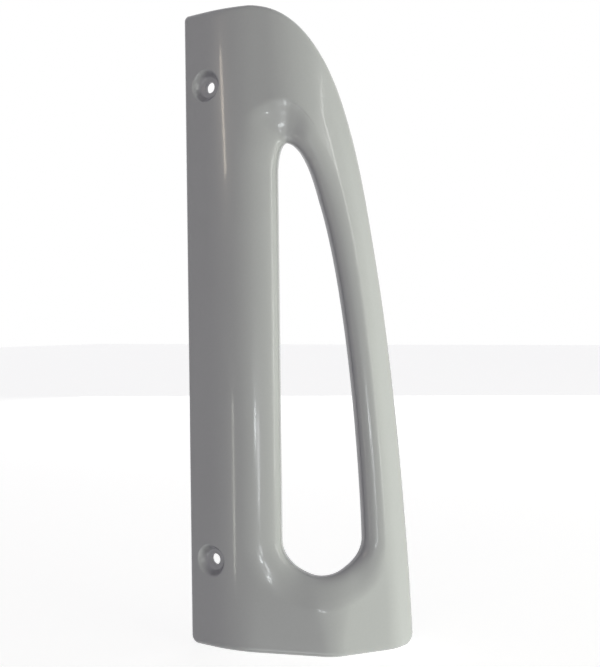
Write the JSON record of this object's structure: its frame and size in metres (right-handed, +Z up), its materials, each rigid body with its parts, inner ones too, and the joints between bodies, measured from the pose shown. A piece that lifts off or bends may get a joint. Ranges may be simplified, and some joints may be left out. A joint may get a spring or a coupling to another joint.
{
  "type": "refrigerator door handle",
  "caption": "One-piece moulded door handle, a tapered shell with a fixing strip, a long finger opening and a grip bar.",
  "frame": {"origin": "midway between the two screw holes, on the plane where the strip meets the door", "axes": "+Z up along the line of the two screw holes, towards the narrow end; +X along the strip from the free edge towards the grip bar, out past the edge of the door; +Y into the door, so the visible side faces -Y and turns towards +X"},
  "size_m": [0.0982, 0.0605, 0.3199],
  "materials": {
    "handle": "glossy injection-moulded plastic, light grey"
  },
  "bodies": {
    "root": {"handle": "handle"}
  },
  "joints": []
}
